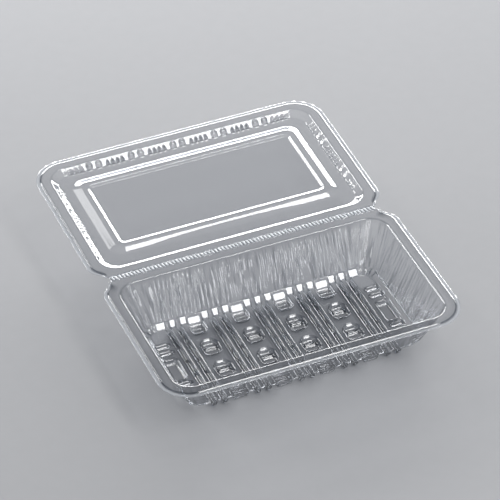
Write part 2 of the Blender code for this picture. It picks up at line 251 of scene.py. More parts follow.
@dataclass
class Skin:
    """The upper face of a sheet, collected ring by ring before it becomes a mesh."""

    points: list[Array] = field(default_factory=list)
    frost: list[Array] = field(default_factory=list)
    drawn: list[Array] = field(default_factory=list)
    along: list[Array] = field(default_factory=list)
    faces: list[tuple[int, ...]] = field(default_factory=list)
    count: int = 0

    def add(
        self, points: Array, frost: Array | float = 0.0, drawn: float = 0.0, along: Array | float = 0.0
    ) -> Array:
        """Adds points.

        Args:
            points: Rows of x, v and height.
            frost: How dull the sheet is at each, from 0 to 1.
            drawn: How strongly the mould has drawn it into fine lines, from 0 to 1.
            along: Each point's place along the wall that it is on, in millimetres.

        Returns:
            The points' numbers.
        """
        first = self.count
        self.points.append(points)
        for column, value in ((self.frost, frost), (self.drawn, drawn), (self.along, along)):
            column.append(np.broadcast_to(np.asarray(value, float), (len(points),)))
        self.count += len(points)
        return np.arange(first, self.count)

    def band(self, outer: Array, inner: Array) -> None:
        """Joins two closed rings of equal count with quads."""
        for a, b, c, d in zip(outer, np.roll(outer, -1), np.roll(inner, -1), inner, strict=True):
            self.faces.append((int(a), int(b), int(c), int(d)))

    def grid(self, numbers: Array) -> None:
        """Joins a grid of points with quads.

        Args:
            numbers: The points' numbers, with x rising along rows and v along columns.
        """
        rows, columns = numbers.shape
        for i in range(rows - 1):
            for j in range(columns - 1):
                corners = numbers[i, j + 1], numbers[i + 1, j + 1], numbers[i + 1, j], numbers[i, j]
                self.faces.append(tuple(int(n) for n in corners))

    def seam(self, outer: Array, inner: Array) -> None:
        """Joins two closed rings of unlike count with triangles.

        Args:
            outer: The outer ring's numbers.
            inner: The inner ring's numbers, which start where the outer ring's do.
        """
        every = np.concatenate(self.points)
        run_a, run_b = (
            share_along(every[np.append(ring, ring[0])][:, :2]) for ring in (outer, inner)
        )
        i = j = 0
        count_a, count_b = len(outer), len(inner)
        while i < count_a or j < count_b:
            a, b = int(outer[i % count_a]), int(inner[j % count_b])
            step_outer = j == count_b or (i < count_a and run_a[i + 1] <= run_b[j + 1])
            if step_outer:
                i += 1
                self.faces.append((a, int(outer[i % count_a]), b))
            else:
                j += 1
                self.faces.append((a, int(inner[j % count_b]), b))

    @staticmethod
    def bends(mesh: bpy.types.Mesh) -> Array:
        """How tightly the sheet bends at each point.

        Args:
            mesh: The sheet's upper face.

        Returns:
            From 0 where it is flat to 1 where it turns within about a millimetre.
        """
        slight, tight = 0.2, 1.5  # radians in a millimetre
        shortest = 0.15
        places, normals = np.empty(len(mesh.vertices) * 3), np.empty(len(mesh.vertices) * 3)
        mesh.vertices.foreach_get("co", places)
        mesh.vertex_normals.foreach_get("vector", normals)
        ends = np.empty(len(mesh.edges) * 2, int)
        mesh.edges.foreach_get("vertices", ends)
        places, normals, ends = places.reshape(-1, 3) / MM, normals.reshape(-1, 3), ends.reshape(-1, 2)
        turn = np.linalg.norm(normals[ends[:, 0]] - normals[ends[:, 1]], axis=1)
        length = np.linalg.norm(places[ends[:, 0]] - places[ends[:, 1]], axis=1)
        rate = turn / np.maximum(length, shortest)
        tightest = np.zeros(len(mesh.vertices))
        for column in (0, 1):
            np.maximum.at(tightest, ends[:, column], rate)
        return smooth((tightest - slight) / (tight - slight))

    def build(self, name: str, side: Side, sheet: float) -> bpy.types.Object:
        """Turns the skin into a closed sheet.

        Args:
            name: Name of the piece.
            side: Which side of the hinge it lies on.
            sheet: Thickness, which grows downwards.

        Returns:
            The new object, at the world's origin.
        """
        points = np.concatenate(self.points) * MM
        points[:, 1] *= side.value
        faces = self.faces if side is Side.TRAY else [face[::-1] for face in self.faces]
        mesh = bpy.data.meshes.new(name)
        mesh.from_pydata(points.tolist(), [], faces)
        for label, values in (
            ("frost", np.concatenate(self.frost)),
            ("drawn", np.concatenate(self.drawn)),
            ("along", np.concatenate(self.along) * MM),
            # How tightly the sheet bends, which its finish turns into painted shade at tight bends.
            ("bend", self.bends(mesh)),
        ):
            layer = mesh.attributes.new(label, "FLOAT", "POINT")
            layer.data.foreach_set("value", values.astype(np.float32))
        mesh.shade_smooth()
        piece = bpy.data.objects.new(name, mesh)
        bpy.context.scene.collection.objects.link(piece)
        thick = piece.modifiers.new("Sheet", "SOLIDIFY")
        thick.thickness = sheet * MM
        thick.offset = -1.0
        return piece


@dataclass
class Stations:
    """The stations round a half that all its rings share.

    Each ring is a closed line: far side, far right corner, right side, near right corner, near
    side, and the same mirrored. The straight middles keep equal x or v on every ring, so what
    runs down a wall runs straight.
    """

    x_mid: float
    v_near: float
    v_far: float
    far_steps: int
    near_steps: int
    short_steps: int
    arc_steps: int
    lead_steps: int

    def assemble(self, far: float, near: float, half: float, far_turn: Array, near_turn: Array) -> Array:
        """Puts a ring together from its right side's two corners.

        Args:
            far: v of the far side.
            near: v of the near side.
            half: x of the right side.
            far_turn: The far right corner, from the far side to the right side.
            near_turn: The near right corner, from the right side to the near side.

        Returns:
            The ring's points, each x and v.
        """
        far_across = np.linspace(-self.x_mid, self.x_mid, self.far_steps + 1)
        near_across = np.linspace(self.x_mid, -self.x_mid, self.near_steps + 1)
        down = np.linspace(self.v_far, self.v_near, self.short_steps + 1)
        mirror = np.array((-1.0, 1.0))
        stretches = (
            np.stack([far_across, np.full_like(far_across, far)], 1),
            far_turn,
            np.stack([np.full_like(down, half), down], 1),
            near_turn,
            np.stack([near_across, np.full_like(near_across, near)], 1),
            near_turn[::-1] * mirror,
            np.stack([np.full_like(down, -half), down[::-1]], 1),
            far_turn[::-1] * mirror,
        )
        return np.concatenate([stretch[:-1] for stretch in stretches])

    def turn(
        self,
        start: tuple[float, float],
        corner: tuple[float, float],
        end: tuple[float, float],
        radius: float,
    ) -> Array:
        """One rounded corner, with the shared number of steps in its leads and its arc.

        Args:
            start: Where the lead into the corner starts.
            corner: The corner before it is rounded.
            end: Where the lead out of the corner ends.
            radius: The corner's radius.

        Returns:
            The corner's points, each x and v.
        """
        arc = fillet([(*start, 0.0), (*corner, radius), (*end, 0.0)], self.arc_steps)
        lead_in = np.linspace(arc[0], arc[1], self.lead_steps + 1)[:-1]
        lead_out = np.linspace(arc[-2], arc[-1], self.lead_steps + 1)[1:]
        return np.concatenate([lead_in, arc[1:-1], lead_out])

    def rounded(self, half: float, near: float, far: float, radius: float) -> Array:
        """A ring that is a rounded rectangle.

        Args:
            half: x of its right side.
            near: v of its near side.
            far: v of its far side.
            radius: Its corner radius.

        Returns:
            The ring's points, each x and v.
        """
        far_turn = self.turn((self.x_mid, far), (half, far), (half, self.v_far), radius)
        near_turn = self.turn((half, self.v_near), (half, near), (self.x_mid, near), radius)
        return self.assemble(far, near, half, far_turn, near_turn)


def soften(profile: Array, reach: float | Sequence[float], steps: int) -> Array:
    """Rounds the corners of a wall's profile.

    Args:
        profile: Rows of inset, near inset, depth and corner radius.
        reach: How far from a corner its rounding starts, for all corners or for each.
        steps: Segments in each rounding.

    Returns:
        The denser profile, in the same columns.
    """
    largest_share = 0.45
    rows = [profile[0]]
    reaches = np.broadcast_to(reach, (len(profile) - 2,))
    for before, here, after, start in zip(profile, profile[1:], profile[2:], reaches, strict=False):
        ends = []
        for other in (before, after):
            gap = other - here
            length = math.hypot(gap[0], gap[2])
            ends.append(here + gap * min(float(start) / length, largest_share))
        for t in np.linspace(0, 1, steps + 1):
            rows.append(ends[0] * (1 - t) ** 2 + here * 2 * t * (1 - t) + ends[1] * t**2)
    rows.append(profile[-1])
    return np.array(rows)


def fill(profile: Array, longest: float) -> Array:
    """Adds rows to a wall's profile.

    Args:
        profile: Rows of inset, near inset, depth and corner radius.
        longest: The longest step that is left as it is, in millimetres.

    Returns:
        The denser profile, in the same columns.
    """
    rows = [profile[0]]
    for before, after in zip(profile, profile[1:], strict=False):
        gap = after - before
        parts = max(1, math.ceil(math.hypot(gap[0], gap[2]) / longest))
        rows.extend(before + gap * k / parts for k in range(1, parts + 1))
    return np.array(rows)


@dataclass(frozen=True)
class Opening:
    """The line where the walls of both halves start."""

    half: float = 88.8
    near: float = 8.0
    far: float = 110.0
    corner: float = 12.0

    def ring(self, stations: Stations, inset: float, near_inset: float, corner: float) -> Array:
        """A ring inside this line.

        Args:
            stations: The half's stations.
            inset: How far inside the line it runs.
            near_inset: The same, on the side at the hinge.
            corner: Its corner radius.

        Returns:
            The ring's points, each x and v.
        """
        return stations.rounded(self.half - inset, self.near + near_inset, self.far - inset, corner)


@dataclass
class Rim:
    """The flat rim that both halves share, with its waist at the hinge's ends.

    half and reach are those of its bend line, outside which a narrow band drops down. Each of
    the rows is a ring: how far outside the bend line it runs, its share of the drop, and how
    dull it is.
    """

    half: float
    reach: float
    opening: Opening = Opening()
    corner: float = 17.0
    band: float = 3.0
    drop: float = 0.6
    drop_run: float = 4.2
    shoulder: float = 12.5
    shoulder_round: float = 9.0
    waist_in: float = 5.5
    waist_reach: float = 4.9
    waist_round: float = 2.0
    waist_spread: float = 0.5
    leaf_reach: float = 2.2
    leaf_gap: float = 0.5
    leaf_round: float = 0.5
    path_steps: int = 10
    flat_inset: float = 0.45
    serration: float = 1.7
    serration_height: float = 0.09
    serrated: tuple[float, float] = (0.9, 2.9)
    station_gap: float = 0.56
    rows: tuple[tuple[float, float, float], ...] = (
        (3.0, 1.0, 0.75),
        (2.6, 1.0, 1.0),
        (1.7, 1.0, 1.0),
        (0.95, 1.0, 0.85),
        (0.62, 0.9, 0.2),
        (0.4, 0.62, 0.0),
        (0.2, 0.25, 0.0),
        (-0.05, 0.04, 0.0),
        (-0.45, 0.0, 0.0),
    )

    def ring(self, stations: Stations, grow: float) -> Array:
        """The rim's bend line, grown outwards.

        Args:
            stations: The half's stations.
            grow: How far outside the bend line the ring runs.

        Returns:
            The ring's points, each x and v.
        """
        half, reach, opening = self.half + grow, self.reach + grow, self.opening
        inward = grow * self.waist_spread
        waist = self.half - self.waist_in + inward
        end = self.leaf_reach + self.leaf_gap * (1.0 - grow / self.band)
        far_turn = stations.turn(
            (stations.x_mid, reach), (half, reach), (half, stations.v_far), self.corner + grow
        )
        path = fillet(
            [
                (half, stations.v_near, 0.0),
                (half, self.shoulder - inward, self.shoulder_round),
                (waist, self.waist_reach, self.waist_round),
                (waist, end, self.leaf_round),
                (stations.x_mid, end, 0.0),
            ],
            self.path_steps,
        )
        wall_turn = stations.turn(
            (opening.half, stations.v_near),
            (opening.half, opening.near),
            (stations.x_mid, opening.near),
            opening.corner,
        )
        near_turn = place_along(path, share_along(wall_turn))
        return stations.assemble(reach, end, half, far_turn, near_turn)

    def drop_at(self, v: Array) -> Array:
        """The share of the edge band's drop at a distance from the hinge."""
        return np.clip((v - self.leaf_reach - self.leaf_gap) / self.drop_run, 0, 1)

    def lay_ring(self, skin: Skin, stations: Stations, grow: float, share: float, frost: float) -> Array:
        """Adds one ring of the edge band, serrated where the band is.

        Args:
            skin: The skin to add to.
            stations: The half's stations.
            grow: How far outside the bend line the ring runs.
            share: Its share of the band's drop.
            frost: How dull it is.

        Returns:
            The ring's numbers.
        """
        plan = self.ring(stations, grow)
        depth = self.drop * share * self.drop_at(plan[:, 1])
        if self.serrated[0] < grow < self.serrated[1]:
            run = np.arange(len(plan)) * self.station_gap
            depth = depth - self.serration_height * np.cos(run * math.tau / self.serration)
        return skin.add(np.column_stack([plan, -depth]), frost)

    def lay(self, skin: Skin, stations: Stations) -> Array:
        """Lays the edge band and the bend line.

        Args:
            skin: The skin to add to.
            stations: The half's stations.

        Returns:
            The numbers of the innermost ring, on the flat of the rim.
        """
        rings = [self.lay_ring(skin, stations, *row) for row in self.rows]
        for outer, inner in zip(rings, rings[1:], strict=False):
            skin.band(outer, inner)
        return rings[-1]


# --------------------------------------------------------------------------------------------
# Tray
# --------------------------------------------------------------------------------------------


@dataclass(frozen=True)
class EndHollow:
    """A hollow against both end walls, from one distance from the hinge to another.

    sharpness is how many times steeper its sides are than a plain pocket's, and ramp is how far
    its hinge end takes to fall.
    """

    start: float
    end: float
    depth: float
    corner: float
    sharpness: float
    ramp: float


@dataclass
class TrayFloor:
    """The tray's ribbed floor, as a depth over its plan.

    Grooves run across it in pairs, with a column of three feet between neighbouring pairs and a
    D-shaped pocket at the hinge end of each column. Depths are below the rim.
    """

    half: float = 74.0
    near: float = 22.8
    far: float = 95.2
    corner: float = 7.0
    depth: float = 30.8
    pocket_depth: float = 33.7
    pitch: float = 28.5
    groups: tuple[int, ...] = (-2, -1, 0, 1, 2)
    columns: tuple[float, ...] = (-1.5, -0.5, 0.5, 1.5)

    # The chamfer round the floor, up to the knee where the wall starts, with teeth in its corners.
    knee_depth: float = 28.0
    knee_run: float = 3.5
    chamfer_shares: tuple[float, ...] = (0.1, 0.22, 0.36, 0.5, 0.64, 0.78, 0.88, 0.95, 1.0)
    chamfer_bow: float = 0.06
    tooth_depth: float = 0.8
    teeth_in_turn: float = 16.0

    # The grooves, with low steps across their floors. The runs start at the groove's two ends.
    spread: float = 3.4
    groove_half: float = 2.7
    groove_back: float = 3.4
    groove_front: float = 3.2
    groove_back_fall: Run = ((0.0, 28.2), (1.1, 29.6), (4.6, 33.5), (5.0, 33.7))
    groove_front_fall: Run = ((0.0, 28.2), (0.9, 31.5), (2.6, 33.7))
    neck: float = 0.45
    neck_start: float = 2.0
    neck_run: float = 3.0
    step_places: tuple[float, ...] = (30.2, 36.8, 53.4, 64.2)
    step_height: float = 0.5
    step_half: float = 0.6
    step_top: float = 1.2
    step_scatter: float = 0.8

    # The feet: a tapered back, a rounded front and a raised bar across.
    pads: tuple[float, ...] = (41.3, 62.6, 83.9)
    pad_length: float = 14.2
    pad_half: float = 6.1
    pad_back_half: float = 3.0
    pad_shoulder: float = 4.4
    pad_slant: float = 0.82
    pad_round: float = 4.0
    pad_sharpness: Run = ((3.2, 2.6), (5.0, 1.35))
    pad_ramp: Run = ((0.0, 0.0), (0.15, 0.02), (1.55, 0.47), (1.9, 0.8), (2.35, 1.0))
    bar_place: float = 6.05
    bar_half: float = 4.2
    bar_end: float = 0.6
    bar_width: float = 0.7
    bar_top: float = 1.9
    bar_height: float = 1.2

    # The D-shaped pockets.
    d_half: float = 6.0
    d_reach: float = 34.4
    d_round: float = 3.4
    d_start: float = 0.3
    d_fall: Run = (
        (0.0, 28.25),
        (0.5, 29.2),
        (4.0, 32.5),
        (4.7, 33.7),
        (8.0, 33.7),
        (8.4, 33.45),
        (8.8, 33.7),
    )

    # The cross grooves and the long pocket against each end wall.
    end_inner: float = 65.5
    end_outer: float = 75.2
    end_hollows: tuple[EndHollow, ...] = (
        *(
            EndHollow(start, start + 3.6, depth=32.8, corner=1.3, sharpness=2.4, ramp=1.6)
            for start in (35.6, 42.3, 72.2)
        ),
        EndHollow(50.0, 69.6, depth=33.7, corner=2.4, sharpness=1.5, ramp=1.9),
    )

    # Where the mesh needs lines. Those of grooves, columns and end walls are distances from a
    # middle, those of the feet are from a foot's back, those of the hinge side are from the hinge,
    # and the rest are from the far edge or from the start or end of an end hollow.
    groove_keys: tuple[float, ...] = (0.75, 1.1, 1.4, 1.68, 2.0, 2.35, 2.7)
    column_keys: tuple[float, ...] = (0.0, 1.5, 2.9, 3.4, 4.0, 4.6, 5.0, 5.35, 5.7, 6.1)
    end_keys: tuple[float, ...] = (
        *(65.5, 65.8, 66.1, 66.5, 67.0, 68.0),
        *(69.0, 70.0, 71.0, 72.0, 72.8, 73.4),
    )
    pad_keys: tuple[float, ...] = (
        *(0.0, 0.5, 1.0, 1.5, 1.9, 2.4, 3.2, 4.3, 4.7, 5.05, 5.4, 6.05, 6.7, 7.05, 7.4, 9.0),
        *(10.4, 11.4, 12.2, 12.8, 13.3, 13.8, 14.25),
    )
    hinge_side_keys: tuple[float, ...] = (
        *(23.3, 23.8, 24.05, 24.3, 24.6, 25.2, 27.2, 27.6, 28.0, 28.4, 28.8),
        *(30.9, 31.4, 31.9, 32.4, 32.8, 33.2, 33.6, 34.0, 34.4),
    )
    front_keys: tuple[float, ...] = (0.5, 1.0, 1.5, 2.1)
    cross_keys: tuple[float, ...] = (0.0, 0.4, 0.9, 1.6, 2.6, 3.1, 3.6)
    pocket_start_keys: tuple[float, ...] = (0.0, 0.6, 1.2, 1.9)
    pocket_end_keys: tuple[float, ...] = (0.0, 0.4, 0.9)
    closest_x: float = 0.27
    closest_v: float = 0.3
    widest: float = 1.5

    def groove_middles(self) -> list[float]:
        """x of the middle of each groove."""
        return [g * self.pitch + side * self.spread for g in self.groups for side in (-1, 1)]

    def column_middles(self) -> list[float]:
        """x of the middle of each column of feet."""
        return [column * self.pitch for column in self.columns]

    def grooves(self, x: Array, v: Array, base: Array) -> Array:
        """Depth of the grooves, which run wall to wall.

        Args:
            x: Places along the hinge.
            v: Distances from the hinge.
            base: Depth of the plain surface at each place.

        Returns:
            The depth at each place.
        """
        depth = base.copy()
        back, front = self.near - self.groove_back, self.far + self.groove_front
        for order, centre in enumerate(self.groove_middles()):
            narrowed = self.neck * smooth((self.near + self.neck_start - v) / self.neck_run)
            side = follow(POCKET_SIDE, self.groove_half - narrowed - np.abs(x - centre))
            floor = np.minimum(
                follow(self.groove_back_fall, v - back), follow(self.groove_front_fall, front - v)
            )
            for k, place in enumerate(self.step_places):
                # A sine of uneven steps, so that no two grooves have theirs at the same places.
                middle = place + self.step_scatter * math.sin(1.7 * order + 2.3 * k)
                share = smooth(self.step_top - np.abs(v - middle) / self.step_half)
                floor = floor - self.step_height * share
            here = np.where((v > back) & (v < front), floor, 0.0)
            depth = np.maximum(depth, base + side * np.maximum(here - base, 0))
        return depth

    def feet(self, x: Array, v: Array, base: Array) -> Array:
        """Depth of the three feet in each column.

        Args:
            x: Places along the hinge.
            v: Distances from the hinge.
            base: Depth of the plain surface at each place.

        Returns:
            The depth at each place.
        """
        depth = base.copy()
        drop = self.pocket_depth - self.depth
        taper = ((0.0, self.pad_back_half), (self.pad_shoulder, self.pad_half))
        for centre in self.column_middles():
            u = np.abs(x - centre)
            for back in self.pads:
                w = v - back
                slant = np.where(w < self.pad_shoulder, self.pad_slant, 1.0)
                edge = (follow(taper, w) - u) * slant
                a = u - (self.pad_half - self.pad_round)
                b = w - (self.pad_length - self.pad_round)
                rounded = self.pad_round - beyond_corner(a, b)
                edge = np.where((a > 0) & (b > 0), rounded, np.minimum(edge, self.pad_length - w))
                slope = follow(POCKET_SIDE, edge * follow(self.pad_sharpness, w))
                hollow = drop * np.minimum(slope, follow(self.pad_ramp, w))
                across = smooth(self.bar_top - np.abs(w - self.bar_place) / self.bar_width)
                hollow = hollow - self.bar_height * smooth((self.bar_half - u) / self.bar_end) * across
                depth = np.maximum(depth, base + np.where((w > 0) & (edge > 0), hollow, 0.0))
        return depth

    def back_pockets(self, x: Array, v: Array, base: Array) -> Array:
        """Depth of the D-shaped pocket at the hinge side of each column.

        Args:
            x: Places along the hinge.
            v: Distances from the hinge.
            base: Depth of the plain surface at each place.

        Returns:
            The depth at each place.
        """
        depth = base.copy()
        start = self.near - self.knee_run + self.d_start
        floor = follow(self.d_fall, v - start)
        for centre in self.column_middles():
            u = np.abs(x - centre)
            a, b = u - (self.d_half - self.d_round), v - (self.d_reach - self.d_round)
            rounded = self.d_round - beyond_corner(a, b)
            edge = np.where((a > 0) & (b > 0), rounded, np.minimum(self.d_half - u, self.d_reach - v))
            sunk = np.where(v > start, follow(POCKET_SIDE, edge) * np.maximum(floor - base, 0), 0.0)
            depth = np.maximum(depth, base + sunk)
        return depth

    def ends(self, x: Array, v: Array, base: Array) -> Array:
        """Depth of the cross grooves and the long pocket against each end wall.

        Args:
            x: Places along the hinge.
            v: Distances from the hinge.
            base: Depth of the plain surface at each place.

        Returns:
            The depth at each place.
        """
        depth = base.copy()
        middle, reach = (self.end_inner + self.end_outer) / 2, (self.end_outer - self.end_inner) / 2
        for hollow in self.end_hollows:
            a = np.abs(np.abs(x) - middle) - (reach - hollow.corner)
            b = np.abs(v - (hollow.start + hollow.end) / 2)
            b = b - ((hollow.end - hollow.start) / 2 - hollow.corner)
            past = np.where((a > 0) & (b > 0), beyond_corner(a, b), np.maximum(a, b))
            edge = hollow.corner - past
            ramp = np.clip((v - hollow.start) / hollow.ramp, 0, 1)
            share = np.minimum(follow(POCKET_SIDE, edge * hollow.sharpness), ramp)
            sunk = (hollow.depth - self.depth) * share
            depth = np.maximum(depth, base + np.where(edge > 0, sunk, 0.0))
        return depth

    def depth_at(self, x: Array, v: Array, base: Array) -> Array:
        """The floor's depth, at or below a plain surface.

        Args:
            x: Places along the hinge.
            v: Distances from the hinge.
            base: Depth of the plain surface at each place.

        Returns:
            The depth at each place.
        """
        shapes: tuple[Callable[[Array, Array, Array], Array], ...] = (
            self.grooves,
            self.feet,
            self.back_pockets,
            self.ends,
        )
        depth = base
        for shape in shapes:
            depth = np.maximum(depth, shape(x, v, base))
        return depth

    def lines(self, keys: Sequence[float], low: float, high: float, closest: float) -> Array:
        """Grid lines through key places, none too close and none too far apart.

        Args:
            keys: The key places.
            low: The first line.
            high: The last line.
            closest: The least gap between two key places that both get a line.

        Returns:
            The lines' places, in order.
        """
        chosen = [low]
        for key in sorted(k for k in keys if low < k < high):
            if key - chosen[-1] >= closest and high - key >= closest:
                chosen.append(key)
        chosen.append(high)
        out = [low]
        for before, after in zip(chosen, chosen[1:], strict=False):
            parts = max(1, math.ceil((after - before) / self.widest))
            out.extend(before + (after - before) * k / parts for k in range(1, parts + 1))
        return np.array(out)

    def grid_lines(self) -> tuple[Array, Array]:
        """The floor's grid lines, dense where a groove or a foot turns.

        Returns:
            The lines' places along the hinge, and their distances from it.
        """
        *crosses, pocket = self.end_hollows
        around = [(middle, self.groove_keys) for middle in self.groove_middles()]
        around += [(middle, self.column_keys) for middle in self.column_middles()]
        around.append((0.0, self.end_keys))
        x_keys = [middle + sign * key for middle, keys in around for key in keys for sign in (-1, 1)]
        v_keys = [back + key for back in self.pads for key in self.pad_keys]
        v_keys += self.hinge_side_keys
        v_keys += [self.far - key for key in self.front_keys]
        v_keys += [cross.start + key for cross in crosses for key in self.cross_keys]
        v_keys += [pocket.start + key for key in self.pocket_start_keys]
        v_keys += [pocket.end - key for key in self.pocket_end_keys]
        xs = self.lines(x_keys, -self.half, self.half, self.closest_x)
        vs = self.lines(v_keys, self.near, self.far, self.closest_v)
        return xs, vs

    def lay(self, skin: Skin) -> Array:
        """Lays the floor and its chamfered edge.

        Args:
            skin: The skin to add to.

        Returns:
            The numbers of the outermost ring, at the knee of the wall.
        """
        xs, vs = self.grid_lines()
        grid_x, grid_v = np.meshgrid(xs, vs, indexing="ij")
        mid_x, v_low, v_high = self.half - self.corner, self.near + self.corner, self.far - self.corner
        a = np.maximum(np.abs(grid_x) - mid_x, 0) / self.corner
        b = (np.maximum(grid_v - v_high, 0) + np.maximum(v_low - grid_v, 0)) / self.corner
        in_corner = (a > 0) & (b > 0)
        # A square's points moved onto a disc, so that the grid's corner becomes a round one.
        round_a, round_b = a * np.sqrt(1 - b**2 / 2), b * np.sqrt(1 - a**2 / 2)
        plan_x = np.where(in_corner, np.sign(grid_x) * (mid_x + self.corner * round_a), grid_x)
        moved_v = np.where(grid_v > v_high, v_high + self.corner * round_b, v_low - self.corner * round_b)
        plan_v = np.where(in_corner, moved_v, grid_v)
        depth = self.depth_at(plan_x, plan_v, np.full_like(plan_x, self.depth))
        points = np.column_stack([plan_x.ravel(), plan_v.ravel(), -depth.ravel()])
        numbers = skin.add(points).reshape(plan_x.shape)
        skin.grid(numbers)
        edge = np.concatenate(
            [numbers[:-1, -1], numbers[-1, :0:-1], numbers[:0:-1, 0], numbers[0, :-1]]
        )
        return self.lay_chamfer(skin, edge, np.concatenate(skin.points)[edge])

    def lay_chamfer(self, skin: Skin, ring: Array, base: Array) -> Array:
        """Lays the chamfer from the floor's edge up to the knee.

        Args:
            skin: The skin to add to.
            ring: The numbers of the floor's edge.
            base: The points of the floor's edge.

        Returns:
            The numbers of the outermost ring.
        """
        nearly_zero = 1e-6
        mid_x, v_low, v_high = self.half - self.corner, self.near + self.corner, self.far - self.corner
        x, v = base[:, 0], base[:, 1]
        over_x = np.sign(x) * np.maximum(np.abs(x) - mid_x, 0)
        over_v = np.maximum(v - v_high, 0) - np.maximum(v_low - v, 0)
        length = np.maximum(np.hypot(over_x, over_v), nearly_zero)
        in_corner = (np.abs(over_x) > nearly_zero) & (np.abs(over_v) > nearly_zero)
        angle = np.arctan2(np.abs(over_v), np.abs(over_x))
        teeth = np.where(in_corner, np.cos(angle * self.teeth_in_turn), 0.0)
        for share in self.chamfer_shares:
            belly = math.sin(math.pi * share)
            place_x = x + over_x / length * share * self.knee_run
            place_v = v + over_v / length * share * self.knee_run
            rise = (self.depth - self.knee_depth) * (share + self.chamfer_bow * belly)
            plain = self.depth - rise + self.tooth_depth * teeth * belly
            depth = self.depth_at(place_x, place_v, plain)
            outer = skin.add(np.column_stack([place_x, place_v, -depth]))
            skin.band(outer, ring)
            ring = outer
        return ring


